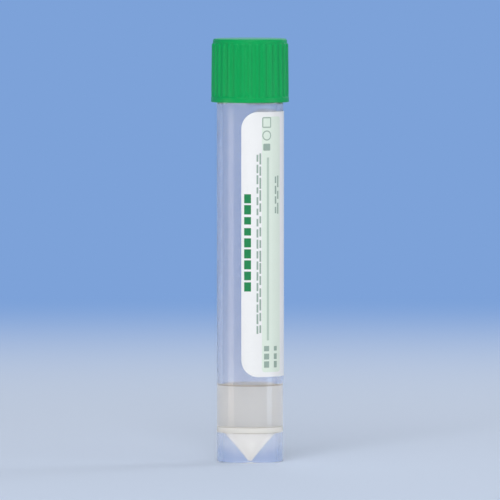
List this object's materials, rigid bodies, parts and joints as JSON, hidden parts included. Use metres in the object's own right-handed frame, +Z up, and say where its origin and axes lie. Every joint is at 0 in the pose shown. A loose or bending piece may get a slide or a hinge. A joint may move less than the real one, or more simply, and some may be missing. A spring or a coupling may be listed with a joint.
{
  "type": "specimen swab tube",
  "caption": "Capped plastic transport tube for a specimen swab: conical bottom in a standing skirt, liquid medium, wrap-round label and ribbed screw cap.",
  "frame": {"origin": "on the tube's axis at the level of the skirt's foot ring, which is the bottom of the object", "axes": "+Z up along the tube's axis towards the cap; the label's clear window and left edge face -Y and -X"},
  "size_m": [0.0148, 0.0148, 0.08],
  "materials": {
    "tube_plastic": "natural polypropylene, injection moulded, milky and translucent",
    "cap_plastic": "green polypropylene, injection moulded, satin gloss",
    "liner_plastic": "natural soft polyethylene, moulded",
    "liquid": "clear pale straw liquid",
    "label_paper": "coated white label stock printed in green and grey"
  },
  "bodies": {
    "tube": {"tube": "tube_plastic", "medium": "liquid", "label": "label_paper"},
    "liner": {"cap_liner": "liner_plastic"},
    "cap": {"cap": "cap_plastic"}
  },
  "joints": [
    {"name": "cap_lift", "type": "slide", "parent": "tube", "child": "liner", "axis": [0, 0, 1], "range_m": [0, 0.0125]},
    {"name": "cap_turn", "type": "hinge", "parent": "liner", "child": "cap", "pos_m": [0, 0, 0.074], "axis": [0, 0, 1], "range_deg": [0, 900]}
  ],
  "couplings": [
    {"joint": "cap_turn", "follows": "cap_lift", "rad_per_m": 1256.6}
  ]
}
